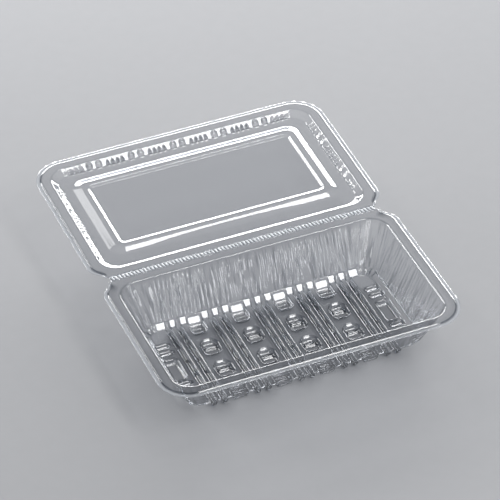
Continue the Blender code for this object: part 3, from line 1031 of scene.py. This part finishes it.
@dataclass
class Tray:
    """The tray: rim, fluted walls and ribbed floor."""

    rim: Rim
    height: float
    sheet: float = 0.3
    wall_depth: float = 27.4
    wall_fade: float = 0.4
    brow_out: float = 1.6
    foot_corner: float = 9.1
    brow_reach: float = 0.75
    brow_steps: int = 4
    longest_step: float = 3.0
    drawn_start: float = 0.8
    drawn_run: float = 4.0

    # The flutes down the walls, whose pitch and strength wander as they do in a drawn sheet. The
    # middle ring is the one that places round the wall are measured on: its half, near side, far
    # side and corner radius.
    girth: float = 380.0
    middle_ring: tuple[float, float, float, float] = (83.0, 13.5, 104.5, 10.5)
    flute_pitch: float = 2.05
    flute_height: float = 0.2
    flute_wander: float = 2.6
    flute_start: float = 1.2
    flute_fade_in: float = 5.0
    flute_fade_out: float = 1.6
    fine_height: float = 0.07
    least_strength: float = 0.1
    most_strength: float = 1.0
    wander: Ripple = field(default_factory=lambda: Ripple(7, 60, 4, cell_height=14.0))
    strength: Ripple = field(default_factory=lambda: Ripple(11, 150, 6, cell_height=7.0))
    fine: Ripple = field(default_factory=lambda: Ripple(13, 260, 5, cell_height=10.0))

    # The broad facets in the corners, which start at these distances from the middle lines.
    facet_x: float = 70.0
    facet_near: float = 26.0
    facet_far: float = 92.0
    facet_height: float = 0.5
    facets_in_turn: float = 12.0
    facet_fade_in: float = 6.0
    facet_fade_out: float = 2.5

    floor: TrayFloor = field(default_factory=TrayFloor)
    stations: Stations = field(
        default_factory=lambda: Stations(
            x_mid=66.0,
            v_near=30.0,
            v_far=88.0,
            far_steps=126,
            near_steps=240,
            short_steps=74,
            arc_steps=16,
            lead_steps=4,
        )
    )

    def place_on_wall(self) -> Array:
        """How far round the wall each station lies.

        Returns:
            The places, in millimetres at the floor.
        """
        plan = self.stations.rounded(*self.middle_ring)
        steps = np.linalg.norm(np.diff(plan, axis=0), axis=1)
        run = np.concatenate([[0], np.cumsum(steps)])
        return run * self.girth / (run[-1] + steps[-1])

    def flutes(self, along: Array, depth: Array) -> Array:
        """How far the flutes stand out from the wall at each place of a ring.

        Args:
            along: How far round the wall each point lies.
            depth: The depth of the ring at each point.

        Returns:
            The offset outwards.
        """
        left = self.wall_depth + self.wall_fade - depth
        grow = smooth((depth - self.flute_start) / self.flute_fade_in) * smooth(left / self.flute_fade_out)
        turn = along / self.girth
        middle, swing = (
            (self.most_strength + sign * self.least_strength) / 2 for sign in (1, -1)
        )
        strong = middle + swing * self.strength.at(turn, depth)
        phase = math.tau * along / self.flute_pitch + self.flute_wander * self.wander.at(turn, depth)
        fine = self.fine_height * self.fine.at(turn, depth)
        return grow * (self.flute_height * strong * np.sin(phase) + fine)

    def facets(self, plan: Array, depth: Array) -> Array:
        """How far the corner facets, which gather the sheet, stand out from the wall.

        Args:
            plan: The ring's points.
            depth: The depth of the ring at each point.

        Returns:
            The offset outwards.
        """
        least, nearly_zero = 0.5, 1e-9
        x, v = plan[:, 0], plan[:, 1]
        over_x = np.maximum(np.abs(x) - self.facet_x, 0)
        over_v = np.maximum(v - self.facet_far, 0) + np.maximum(self.facet_near - v, 0)
        angle = np.arctan2(over_v, over_x + nearly_zero)
        inside = (over_x > least) & (over_v > least)
        left = self.wall_depth + self.wall_fade - depth
        grow = smooth(depth / self.facet_fade_in) * smooth(left / self.facet_fade_out)
        wave = self.facet_height * np.cos(angle * self.facets_in_turn) * np.sin(angle * 2.0)
        return np.where(inside, wave, 0.0) * grow

    def profile(self) -> Array:
        """The wall from the rim to the knee.

        Returns:
            Rows of inset, near inset, depth and corner radius.
        """
        corner = self.rim.opening.corner
        knee_in = self.rim.opening.half - self.floor.half - self.floor.knee_run
        foot_in = knee_in / self.floor.knee_depth * self.wall_depth
        rows = np.array(
            [
                (-self.brow_out, -self.brow_out, 0.0, corner + 1.0),
                (0.0, 0.0, 0.0, corner),
                (foot_in, foot_in, self.wall_depth, self.foot_corner),
            ]
        )
        return fill(soften(rows, self.brow_reach, self.brow_steps), self.longest_step)

    def build(self) -> bpy.types.Object:
        """Builds the tray's sheet.

        Returns:
            The new object.
        """
        skin = Skin()
        ring = self.rim.lay(skin, self.stations)
        along = self.place_on_wall()
        for inset, near_inset, depth, radius in self.profile():
            plan = self.rim.opening.ring(self.stations, inset, near_inset, radius)
            depths = np.full(len(plan), depth)
            tangent = np.roll(plan, -1, axis=0) - np.roll(plan, 1, axis=0)
            normal = np.stack([-tangent[:, 1], tangent[:, 0]], 1)
            normal /= np.linalg.norm(normal, axis=1)[:, None]
            plan = plan + normal * (self.flutes(along, depths) + self.facets(plan, depths))[:, None]
            drawn = float(smooth((depth - self.drawn_start) / self.drawn_run))
            inner = skin.add(np.column_stack([plan, -depths]), drawn=drawn, along=along)
            skin.band(ring, inner)
            ring = inner
        knee = self.floor.lay(skin)
        skin.seam(self.from_far_middle(skin, ring), self.from_far_middle(skin, knee))
        piece = skin.build("tray_sheet", Side.TRAY, self.sheet)
        piece.data.transform(Matrix.Translation((0, 0, self.height * MM)))
        return piece

    @staticmethod
    def from_far_middle(skin: Skin, ring: Array) -> Array:
        """Starts a ring at the middle of its far side.

        Args:
            skin: The skin that holds the ring.
            ring: The ring's numbers.

        Returns:
            The same numbers, in the same order, from another start.
        """
        points = np.concatenate(skin.points)[ring]
        return np.roll(ring, -int(np.argmin(np.abs(points[:, 0]) - points[:, 1] * 10)))


# --------------------------------------------------------------------------------------------
# Lid
# --------------------------------------------------------------------------------------------


@dataclass(frozen=True)
class Rib:
    """A rib on the dome wall, as tall as the wall falls below its crest.

    It starts some way in from the top of the wall and widens from there to its full half width.
    The crest's depth is a run over how far in a place is. The flank is how far a side takes to
    fall: a narrow rib, without one, slopes all the way and goes on widening.
    """

    start: float
    half: float
    widening: float
    power: float
    crest: Run
    flank: float | None = None

    def height(self, away: Array, inset: float, wall: float) -> Array:
        """How high the rib stands.

        Args:
            away: Distances from its middle, along the wall.
            inset: How far in from the top of the wall.
            wall: The wall's depth there.

        Returns:
            The height over the wall.
        """
        share = max(0.0, (inset - self.start) / self.widening)
        width = self.half * (share if self.flank is None else min(1.0, share)) ** self.power
        if width <= 0:
            return np.zeros_like(away)
        if self.flank is None:
            shape = np.clip(1.0 - away / width, 0, 1)
        else:
            shape = smooth((width - away) / self.flank)
        return max(wall - float(follow(self.crest, inset)), 0.0) * shape


@dataclass
class Lid:
    """The lid: rim, ribbed dome wall, ledge, raised frame and flat panel.

    The hinge's axis lies axis_above over the rim of the lid as it lies open.
    """

    rim: Rim
    sheet: float = 0.3
    axis_above: float = 0.15
    ledge_depth: float = 3.5
    ledge_run: float = 4.3
    bend_reach: tuple[float, ...] = (0.5, 0.6, 1.3, 1.1, 0.7, 0.6, 0.1)
    bend_steps: int = 4
    longest_step: float = 3.2

    # The ribs of the dome wall: pairs of broad ones, which show as arches, and narrow ones between.
    broad_rib: Rib = Rib(
        start=0.45,
        half=1.9,
        widening=1.1,
        power=0.5,
        crest=((0.45, 0.37), (1.0, 0.6), (2.5, 0.95), (4.3, 3.5)),
        flank=0.55,
    )
    narrow_rib: Rib = Rib(
        start=0.5,
        half=1.25,
        widening=3.2,
        power=1.0,
        crest=((0.5, 0.41), (1.2, 0.75), (3.5, 1.5), (4.3, 3.4)),
    )
    rib_pitch: float = 3.3
    rib_margin: float = 8.6
    least_room: float = 8.0
    pair_offset: float = 3.15
    long_pairs: tuple[float, ...] = (-57.0, -28.5, 0.0, 28.5, 57.0)
    long_reach: float = 81.0
    short_pairs: tuple[float, ...] = (-17.8, 17.8)
    short_reach: float = 40.0
    near_rib_share: float = 0.25
    short_rib_share: float = 0.7
    rib_slack: float = 0.3
    rib_foot: float = 0.4
    rib_zone: tuple[float, float] = (0.2, 4.4)
    rib_step: float = 0.36

    # A short second row of crimps on the rim beside the hinge's ends.
    tick_place: float = 4.9
    tick_half: float = 1.3
    tick_fade: float = 0.7
    tick_height: float = 0.16
    tick_pitch: float = 2.35
    tick_ends: tuple[float, float] = (60.5, 89.0)

    # The rings that the flat of the rim gets, as shares of the way from its bend line inwards.
    flat_shares: tuple[float, ...] = (0.25, 0.5, 0.75)

    # The foot of the raised frame, which bows towards the hinge in the middle of its near side.
    frame_inset: float = 11.4
    frame_bow: float = 1.4
    bow_fade: float = 3.0
    bow_half: float = 70.0
    bow_within: float = 45.0

    stations: Stations = field(
        default_factory=lambda: Stations(
            x_mid=64.0,
            v_near=36.5,
            v_far=85.0,
            far_steps=270,
            near_steps=120,
            short_steps=92,
            arc_steps=14,
            lead_steps=14,
        )
    )

    def profile(self) -> Array:
        """The lid's levels from the rim to the panel.

        Returns:
            Rows of inset, near inset, depth and corner radius, with closely spaced ones on the
            dome wall, for its ribs.
        """
        levels = np.array(
            [
                (-1.5, -1.5, 0.0, 13.0),
                (0.0, 0.0, 0.0, 12.0),
                (self.ledge_run, self.ledge_run, self.ledge_depth, 10.0),
                (self.frame_inset, 15.0, self.ledge_depth, 8.0),
                (16.0, 19.3, 1.9, 5.0),
                (19.4, 22.7, 1.9, 4.0),
                (21.3, 24.6, 3.1, 2.6),
                (22.7, 26.0, 3.1, 1.5),
                (23.4, 26.7, 3.1, 1.0),
            ]
        )
        rows = fill(soften(levels, self.bend_reach, self.bend_steps), self.longest_step)
        dense = [rows[0]]
        for row in rows[1:]:
            if self.rib_zone[0] < row[0] < self.rib_zone[1]:
                gap = row - dense[-1]
                parts = max(1, math.ceil(gap[0] / self.rib_step))
                dense += [dense[-1] + gap * k / parts for k in range(1, parts)]
            dense.append(row)
        return np.array(dense)

    def rib_places(self, length: float, pairs: Sequence[float]) -> list[tuple[float, Rib]]:
        """Places of the ribs along one wall.

        Args:
            length: How far from the wall's middle the ribs run.
            pairs: The middle of each pair of broad ribs.

        Returns:
            For each rib, its place and its kind.
        """
        broad = sorted(p + sign * self.pair_offset for p in pairs for sign in (-1, 1))
        places = [(place, self.broad_rib) for place in broad]
        for low, high in zip([-length, *broad], [*broad, length], strict=True):
            if high - low < self.least_room:
                continue
            count = max(1, round((high - low - self.rib_margin) / self.rib_pitch))
            first = (low + high) / 2 - (count - 1) / 2 * self.rib_pitch
            places += [(first + k * self.rib_pitch, self.narrow_rib) for k in range(count)]
        return places

    def ribs(self, along: Array, inset: float, length: float, pairs: Sequence[float]) -> Array:
        """How high the ribs of one wall stand over it.

        Args:
            along: Places along the wall, from its middle.
            inset: How far in from the top of the wall.
            length: How far from the wall's middle the ribs run.
            pairs: The middle of each pair of broad ribs.

        Returns:
            The height over the wall.
        """
        height = np.zeros_like(along)
        wall = self.ledge_depth * inset / self.ledge_run
        for place, rib in self.rib_places(length, pairs):
            height = np.maximum(height, rib.height(np.abs(along - place), inset, wall))
        return height

    def wall_height(self, plan: Array, inset: float) -> Array:
        """How high the ribs stand at each place of a ring of the dome wall.

        Args:
            plan: The ring's points.
            inset: How far in from the top of the wall.

        Returns:
            The height over the wall, which is 0 away from the ribs.
        """
        if not self.rib_slack < inset < self.ledge_run + self.rib_foot:
            return np.zeros(len(plan))
        opening, reach = self.rim.opening, inset + self.rib_slack
        x, v = plan[:, 0], plan[:, 1]
        middle = (opening.near + opening.far) / 2
        on_long = (v > opening.far - reach) | (v < opening.near + reach)
        on_short = np.abs(x) > opening.half - reach
        faint = np.where(v < middle, self.near_rib_share, 1.0)
        long = faint * self.ribs(x, inset, self.long_reach, self.long_pairs)
        short = self.short_rib_share * self.ribs(v - middle, inset, self.short_reach, self.short_pairs)
        return np.where(on_short, short, np.where(on_long, long, 0.0))

    def ticks(self, plan: Array) -> Array:
        """Height of the second row of crimps.

        Args:
            plan: The ring's points.

        Returns:
            The height over the rim.
        """
        x, v = plan[:, 0], plan[:, 1]
        row = smooth((self.tick_half - np.abs(v - self.tick_place)) / self.tick_fade)
        ends = smooth(np.abs(x) - self.tick_ends[0]) * smooth(self.tick_ends[1] - np.abs(x))
        wave = smooth(0.5 + 0.9 * np.cos(math.tau * x / self.tick_pitch))
        return self.tick_height * row * ends * wave

    def bowed(self, plan: Array, inset: float) -> Array:
        """Bows the foot of the raised frame.

        Args:
            plan: The ring's points.
            inset: How far in from the top of the wall it runs.

        Returns:
            The ring's points, bowed where they are on the near side.
        """
        share = float(smooth(1.0 - abs(inset - self.frame_inset) / self.bow_fade))
        arch = np.clip(1.0 - (plan[:, 0] / self.bow_half) ** 2, 0, 1)
        shift = self.frame_bow * share * arch * (plan[:, 1] < self.bow_within)
        return plan - np.stack([np.zeros_like(shift), shift], 1)

    def build(self, axis: Vector, lift: float) -> bpy.types.Object:
        """Builds the lid's sheet and hangs it open on the hinge.

        Args:
            axis: A point on the hinge's axis, in metres.
            lift: How far above level the lid stands, in degrees.

        Returns:
            The new object.
        """
        skin = Skin()
        levels = self.profile()
        ring = self.rim.lay(skin, self.stations)
        outer = self.rim.ring(self.stations, -self.rim.flat_inset)
        inset, near_inset, _, radius = levels[0]
        inner = self.rim.opening.ring(self.stations, inset, near_inset, radius)
        for share in self.flat_shares:
            plan = outer * (1 - share) + inner * share
            step = skin.add(np.column_stack([plan, self.ticks(plan)]))
            skin.band(ring, step)
            ring = step
        for inset, near_inset, depth, radius in levels:
            plan = self.rim.opening.ring(self.stations, inset, near_inset, radius)
            height = self.wall_height(plan, inset) - depth
            step = skin.add(np.column_stack([self.bowed(plan, inset), height]))
            skin.band(ring, step)
            ring = step
        skin.faces.append(tuple(int(n) for n in ring))
        piece = skin.build("lid_sheet", Side.LID, self.sheet)
        turn = Matrix.Rotation(math.radians(lift), 4, "X")
        above = axis.z - self.axis_above * MM
        place = Matrix.Translation(axis) @ turn @ Matrix.Translation(Vector((0, 0, above)) - axis)
        piece.data.transform(place)
        return piece


# --------------------------------------------------------------------------------------------
# Hinge
# --------------------------------------------------------------------------------------------


@dataclass
class HingeBand:
    """The thin crimped band that the lid folds on."""

    height: float
    half: float = 88.6
    reach: float = 2.0
    sheet: float = 0.2
    below: float = 0.1
    pitch: float = 2.35
    slant: float = 0.24
    crimp: float = 0.4
    crimp_end: float = 0.6
    plain_frost: float = 0.1
    crimp_frost: float = 3.0
    line_gap: float = 0.3
    lines_across: int = 15

    def build(self) -> bpy.types.Object:
        """Builds the band, level, between the two rims.

        Returns:
            The new object.
        """
        xs = np.linspace(-self.half, self.half, int(self.half * 2 / self.line_gap) + 1)
        ys = np.linspace(-self.reach, self.reach, self.lines_across)
        x, y = (axis.ravel() for axis in np.meshgrid(xs, ys, indexing="ij"))
        wave = smooth(0.5 + 0.8 * np.cos(math.tau * (x + self.slant * y) / self.pitch))
        share = smooth((self.reach - np.abs(y)) / self.crimp_end) * wave
        skin = Skin()
        points = np.column_stack([x, y, self.crimp * share - self.below])
        numbers = skin.add(points, self.plain_frost + self.crimp_frost * share)
        skin.grid(numbers.reshape(len(xs), len(ys)))
        piece = skin.build("hinge_band", Side.LID, self.sheet)
        piece.data.transform(Matrix.Translation((0, 0, self.height * MM)))
        return piece


# --------------------------------------------------------------------------------------------
# Finishes
# --------------------------------------------------------------------------------------------

WHITE = (1.0, 1.0, 1.0, 1.0)
# Numbers of a Mix node's colour sockets.
MIX_A, MIX_B, MIX_OUT = 6, 7, 2


@dataclass(frozen=True)
class ClearSheet:
    """Oriented polystyrene sheet, extruded, stretched and thermoformed.

    To the eye it is water-clear and glassy: it shows what is behind it a little greyer and mirrors
    a lamp as a hard white line at every bend. Seen edge-on it turns greyer, a little from its longer
    path through the sheet and mostly by painted shade. Painted shade also darkens it at tight bends
    and along the fine lines that a steep draw leaves down a wall, in place of the light that
    refraction throws aside there. Crimps and serrations whiten it a little.
    """

    name: str
    face: str = "#f4f5f7"
    # The grey seen edge-on: a little from the longer path through the sheet, mostly painted shade for the
    # dark edges that refraction gives a clear sheet.
    edge: str = "#7c838b"
    edge_power: float = 2.2
    # The painted shade at tight bends and along drawn lines, in place of the light that a bend throws
    # aside like a lens.
    bend: str = "#9a9fa6"
    frost: str = "#dfe3e8"
    frost_share: float = 0.28
    ior: float = 1.59
    gloss: float = 1.8
    roughness: float = 0.035
    # Roughness drifts over patches this wide, from 0.6 to 1.6 of its value.
    patch_mm: float = 30.0
    drift: tuple[float, float] = (0.6, 1.6)
    # The drawn lines are about 0.3 mm apart on such a sheet, too fine to show, so they are drawn
    # 1.7 mm apart. The squeeze makes each of them many times as long as it is wide.
    streak_mm: float = 1.7
    streak_squeeze: float = 0.07
    streak_depth: float = 0.03
    # How dark the drawn lines are painted: painted shade for the light that their refraction throws aside.
    streak_shade: float = 0.5
    streak_range: tuple[float, float] = (0.48, 0.66)

    def streaks(self, tree: bpy.types.NodeTree, place: bpy.types.NodeSocket) -> bpy.types.NodeSocket:
        """Fine lines that run down the walls.

        Args:
            tree: The material's nodes.
            place: Places in the piece's own space.

        Returns:
            The lines, as a value from 0 to 1.
        """
        round_wall = add_node(tree, "ShaderNodeAttribute", attribute_name="along").outputs["Fac"]
        height = add_node(tree, "ShaderNodeSeparateXYZ", {0: place}).outputs["Z"]
        down_wall = add_node(
            tree, "ShaderNodeMath", {0: height, 1: self.streak_squeeze}, operation="MULTIPLY"
        ).outputs[0]
        on_wall = add_node(tree, "ShaderNodeCombineXYZ", {"X": round_wall, "Y": down_wall}).outputs[0]
        scale = 1 / (self.streak_mm * MM)
        return add_node(
            tree, "ShaderNodeTexNoise", {"Vector": on_wall, "Scale": scale, "Detail": 2.0}
        ).outputs["Fac"]

    def tint(
        self,
        tree: bpy.types.NodeTree,
        bump: bpy.types.NodeSocket,
        streaks: bpy.types.NodeSocket,
        drawn: bpy.types.NodeSocket,
    ) -> bpy.types.NodeSocket:
        """What the sheet takes from the light that passes through it, and painted shade: darker where
        it is seen edge-on, at tight bends and along the drawn lines.

        Args:
            tree: The material's nodes.
            bump: The surface's normals.
            streaks: The drawn lines.
            drawn: How strongly they show.

        Returns:
            The colour that the light is multiplied by.
        """
        # Painted shade: the sheet darkens towards the edge grey as it turns edge-on to the camera, a
        # little of it from its longer path through the sheet.
        facing = add_node(tree, "ShaderNodeLayerWeight", {"Blend": 0.5, "Normal": bump}).outputs["Facing"]
        steep = add_node(
            tree, "ShaderNodeMath", {0: facing, 1: self.edge_power}, operation="POWER"
        ).outputs[0]
        grey_and_edge_shade = add_node(
            tree,
            "ShaderNodeMix",
            {"Factor": steep, MIX_A: linear(self.face), MIX_B: linear(self.edge)},
            data_type="RGBA",
        ).outputs[MIX_OUT]
        # Painted shade along the drawn lines, as strong as the wall is drawn.
        low, high = self.streak_range
        lines = add_node(
            tree,
            "ShaderNodeMapRange",
            {"Value": streaks, "From Min": low, "From Max": high, "To Max": self.streak_shade},
        ).outputs["Result"]
        lines = add_node(tree, "ShaderNodeMath", {0: lines, 1: drawn}, operation="MULTIPLY").outputs[0]
        # Painted shade at tight bends and along the drawn lines, standing in for the light that a bend
        # throws aside like a lens.
        bend = add_node(tree, "ShaderNodeAttribute", attribute_name="bend").outputs["Fac"]
        painted_shade_share = add_node(
            tree, "ShaderNodeMath", {0: bend, 1: lines}, operation="ADD", use_clamp=True
        ).outputs[0]
        lens = add_node(
            tree,
            "ShaderNodeMix",
            {"Factor": painted_shade_share, MIX_A: WHITE, MIX_B: linear(self.bend)},
            data_type="RGBA",
        ).outputs[MIX_OUT]
        return add_node(
            tree,
            "ShaderNodeMix",
            {"Factor": 1.0, MIX_A: grey_and_edge_shade, MIX_B: lens},
            data_type="RGBA",
            blend_type="MULTIPLY",
        ).outputs[MIX_OUT]

    def material(self) -> bpy.types.Material:
        """Makes the material.

        The sheet has two faces. Only the one that light enters tints and mirrors, so that each
        layer counts once.

        Returns:
            The new material.
        """
        mat = bpy.data.materials.new(self.name)
        mat.use_nodes = True
        tree = mat.node_tree
        tree.nodes.clear()
        place = add_node(tree, "ShaderNodeTexCoord").outputs["Object"]
        back = add_node(tree, "ShaderNodeNewGeometry").outputs["Backfacing"]
        front = add_node(tree, "ShaderNodeMath", {0: 1.0, 1: back}, operation="SUBTRACT").outputs[0]

        # Drawn lines on the walls, as a slight relief.
        streaks = self.streaks(tree, place)
        drawn = add_node(tree, "ShaderNodeAttribute", attribute_name="drawn").outputs["Fac"]
        relief = add_node(
            tree, "ShaderNodeMath", {0: drawn, 1: self.streak_depth * MM}, operation="MULTIPLY"
        ).outputs[0]
        bump = add_node(
            tree, "ShaderNodeBump", {"Height": streaks, "Strength": 1.0, "Distance": relief}
        ).outputs["Normal"]

        # The clear sheet, with what is behind it a little greyer, and painted shade where it is seen
        # edge-on, at tight bends and along the drawn lines.
        tinted = self.tint(tree, bump, streaks, drawn)
        through = add_node(
            tree, "ShaderNodeMix", {"Factor": back, MIX_A: tinted, MIX_B: WHITE}, data_type="RGBA"
        ).outputs[MIX_OUT]
        clear = add_node(tree, "ShaderNodeBsdfTransparent", {"Color": through}).outputs[0]

        # Its polished face, which mirrors the lamps.
        patches = add_node(
            tree,
            "ShaderNodeTexNoise",
            {"Vector": place, "Scale": 1 / (self.patch_mm * MM), "Detail": 3.0},
        ).outputs["Fac"]
        low, high = (self.roughness * share for share in self.drift)
        rough = add_node(
            tree, "ShaderNodeMapRange", {"Value": patches, "To Min": low, "To Max": high}
        ).outputs["Result"]
        polished = add_node(
            tree, "ShaderNodeBsdfAnisotropic", {"Color": WHITE, "Roughness": rough, "Normal": bump}
        ).outputs[0]
        fresnel = add_node(tree, "ShaderNodeFresnel", {"IOR": self.ior, "Normal": bump}).outputs[0]
        both = add_node(
            tree, "ShaderNodeMath", {0: fresnel, 1: self.gloss}, operation="MULTIPLY", use_clamp=True
        ).outputs[0]
        mirror = add_node(tree, "ShaderNodeMath", {0: both, 1: front}, operation="MULTIPLY").outputs[0]
        glassy = add_node(tree, "ShaderNodeMixShader", {0: mirror, 1: clear, 2: polished}).outputs[0]

        # The milky share where the sheet is crimped.
        dull = add_node(tree, "ShaderNodeAttribute", attribute_name="frost").outputs["Fac"]
        share = add_node(
            tree, "ShaderNodeMath", {0: dull, 1: self.frost_share}, operation="MULTIPLY"
        ).outputs[0]
        milky = add_node(
            tree, "ShaderNodeBsdfDiffuse", {"Color": linear(self.frost), "Normal": bump}
        ).outputs[0]
        whole = add_node(tree, "ShaderNodeMixShader", {0: share, 1: glassy, 2: milky}).outputs[0]
        add_node(tree, "ShaderNodeOutputMaterial", {"Surface": whole})
        return mat


@dataclass(frozen=True)
class StudioFloor:
    """A matt painted board, which looks even but for the faint mottle of a roller."""

    name: str = "matt_painted_board"
    colour: str = "#b1b2b5"
    mottle: str = "#adaeb1"
    roughness: float = 0.8
    # A roller's mottle is about 2 mm wide, too fine to show, so it is drawn 9 mm wide.
    mottle_mm: float = 9.0

    def material(self) -> bpy.types.Material:
        """Makes the material.

        Returns:
            The new material.
        """
        mat = bpy.data.materials.new(self.name)
        mat.use_nodes = True
        tree = mat.node_tree
        shader = tree.nodes["Principled BSDF"]
        place = add_node(tree, "ShaderNodeTexCoord").outputs["Object"]
        scale = 1 / (self.mottle_mm * MM)
        noise = add_node(
            tree, "ShaderNodeTexNoise", {"Vector": place, "Scale": scale, "Detail": 4.0}
        ).outputs["Fac"]
        paint = add_node(
            tree,
            "ShaderNodeMix",
            {"Factor": noise, MIX_A: linear(self.colour), MIX_B: linear(self.mottle)},
            data_type="RGBA",
        ).outputs[MIX_OUT]
        tree.links.new(paint, shader.inputs["Base Color"])
        shader.inputs["Roughness"].default_value = self.roughness
        return mat


# --------------------------------------------------------------------------------------------
# Studio
# --------------------------------------------------------------------------------------------


@dataclass
class Softbox:
    """A rectangular soft light.

    Its direction is from the pack, and its angles are as seen from there.
    """

    name: str
    direction: tuple[float, float, float]
    along: tuple[float, float, float]
    length_deg: float
    width_deg: float
    radiance: float
    distance: float = 1.5

    def build(self, target: Vector) -> bpy.types.Object:
        """Hangs the light so that it faces the pack.

        Args:
            target: What it faces, in metres.

        Returns:
            The new light.
        """
        data = bpy.data.lights.new(self.name, "AREA")
        data.shape = "RECTANGLE"
        data.size = 2 * self.distance * math.tan(math.radians(self.width_deg / 2))
        data.size_y = 2 * self.distance * math.tan(math.radians(self.length_deg / 2))
        data.energy = self.radiance * math.pi * data.size * data.size_y
        lamp = bpy.data.objects.new(self.name, data)
        bpy.context.scene.collection.objects.link(lamp)
        away = Vector(self.direction).normalized()
        across = Vector(self.along).cross(away).normalized()
        turn = Matrix((across, away.cross(across), away)).transposed()
        place = Matrix.Translation(target + away * self.distance)
        lamp.matrix_world = place @ turn.to_4x4()
        lamp.visible_camera = False
        return lamp


@dataclass
class Studio:
    """Floor, lights and camera.

    turn and tilt are the camera's, in degrees, and distance, shift_right and shift_up place it
    in millimetres, off the middle of the hinge at the rims' height.
    """

    turn: float = 23.28
    tilt: float = 39.488
    distance: float = 2154.5
    shift_right: float = 3.6938
    shift_up: float = -4.3991
    lens: float = 252.0
    clip: tuple[float, float] = (0.1, 50.0)
    floor_half: float = 6000.0
    floor_gap: float = 0.2
    aim_height: float = 20.0
    fill_light: float = 0.2
    fill_colour: str = "#f2f4f7"
    # A look through the pack crosses many layers of clear sheet.
    clear_layers: int = 48
    tube_azimuths: tuple[float, ...] = (-21.0, -9.0, 4.0, 31.0, 43.0, 55.0)
    tube_height: float = 0.16
    boxes: tuple[Softbox, ...] = (
        Softbox("overhead_front_softbox", (0.305, -0.505, 0.807), (0, 1, 0), 28.0, 12.0, 9.0),
        Softbox("overhead_back_softbox", (0.305, 0.173, 0.937), (0, 1, 0), 11.0, 11.0, 7.0),
        Softbox("back_left_strip", (-0.67, 0.72, 0.17), (0, 0, 1), 20.0, 26.0, 10.0),
        Softbox("back_high_panel", (-0.10, 0.71, 0.70), (1, 0, 0), 13.0, 10.0, 2.4),
        Softbox("side_high_panel", (-0.34, 0.71, 0.62), (1, 0, 0), 11.0, 14.0, 10.0),
        Softbox("back_right_strip", (0.40, 0.87, 0.27), (1, 0, 0), 56.0, 22.0, 10.0),
    )

    def tubes(self) -> list[Softbox]:
        """Upright tube lights in front, whose reflections pick out the tray's fluted wall.

        Returns:
            The tubes, which are not yet built.
        """
        out = []
        for order, azimuth in enumerate(self.tube_azimuths):
            turn = math.radians(azimuth)
            direction = (math.sin(turn), -math.cos(turn), self.tube_height)
            out.append(Softbox(f"front_tube_{order}", direction, (0, 0, 1), 24.0, 5.0, 4.5, 0.7))
        return out

    def floor(self) -> bpy.types.Object:
        """Lays the floor, just under the pack's feet.

        Returns:
            The floor.
        """
        far = self.floor_half * MM
        corners = [(-far, -far, 0), (far, -far, 0), (far, far, 0), (-far, far, 0)]
        mesh = bpy.data.meshes.new("studio_floor")
        mesh.from_pydata(corners, [], [(0, 1, 2, 3)])
        mesh.materials.append(StudioFloor().material())
        board = bpy.data.objects.new("studio_floor", mesh)
        bpy.context.scene.collection.objects.link(board)
        board.location.z = -self.floor_gap * MM
        return board

    def camera(self, height: float) -> bpy.types.Object:
        """Sets up the camera.

        Args:
            height: Height of the rims, in millimetres, which the camera is levelled on.

        Returns:
            The camera.
        """
        a, e = math.radians(self.turn), math.radians(self.tilt)
        back = Vector((-math.sin(a) * math.cos(e), -math.cos(a) * math.cos(e), math.sin(e)))
        right = Vector((math.cos(a), -math.sin(a), 0.0))
        up = back.cross(right)
        aim = right * self.shift_right + up * self.shift_up + Vector((0, 0, height))
        data = bpy.data.cameras.new("camera")
        data.lens = self.lens
        data.clip_start, data.clip_end = self.clip
        camera = bpy.data.objects.new("camera", data)
        bpy.context.scene.collection.objects.link(camera)
        turn = Matrix((right, up, back)).transposed()
        camera.matrix_world = Matrix.Translation((aim + back * self.distance) * MM) @ turn.to_4x4()
        bpy.context.scene.camera = camera
        return camera

    def build(self, height: float) -> None:
        """Builds the studio round the pack.

        Args:
            height: Height of the rims, in millimetres.
        """
        scene = bpy.context.scene
        self.floor()
        self.camera(height)
        for box in (*self.boxes, *self.tubes()):
            box.build(Vector((0, 0, self.aim_height * MM)))
        world = bpy.data.worlds.new("studio_air")
        world.use_nodes = True
        shade = world.node_tree.nodes["Background"]
        shade.inputs["Color"].default_value = linear(self.fill_colour)
        shade.inputs["Strength"].default_value = self.fill_light
        scene.world = world
        scene.view_settings.view_transform = "Standard"
        scene.cycles.transparent_max_bounces = self.clear_layers


def main() -> None:
    """Builds the pack and its studio."""
    logging.basicConfig(level=logging.INFO, format="%(name)s: %(message)s")
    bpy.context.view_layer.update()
    tray_low, tray_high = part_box("base_tray")
    joint = frame["joints"][0]
    axis = Vector(joint["pos_m"])
    lift = 180.0 - joint["range_deg"][1]
    height = tray_high.z / MM
    rim = Rim(half=tray_high.x / MM - Rim.band, reach=-tray_low.y / MM - Rim.band)

    tray = Tray(rim, height).build()
    lid = Lid(rim).build(axis, lift)
    hinge = HingeBand(height).build()
    for piece, name, slot, nodes in (
        (tray, "ops_sheet_tray", "tray_sheet", ("base_tray",)),
        (lid, "ops_sheet_lid", "lid_sheet", ("lid",)),
        (hinge, "ops_sheet_hinge", "hinge_web", ("hinge_leaf_base", "hinge_leaf_lid")),
    ):
        piece.data.materials.append(ClearSheet(name).material())
        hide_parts(*nodes)
        log.info("%s: a sheet of %d faces", piece.name, len(piece.data.polygons))
    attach(tray, "tray")
    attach(lid, "lid")
    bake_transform(hinge)
    Studio().build(height)


if __name__ == "__main__":
    main()
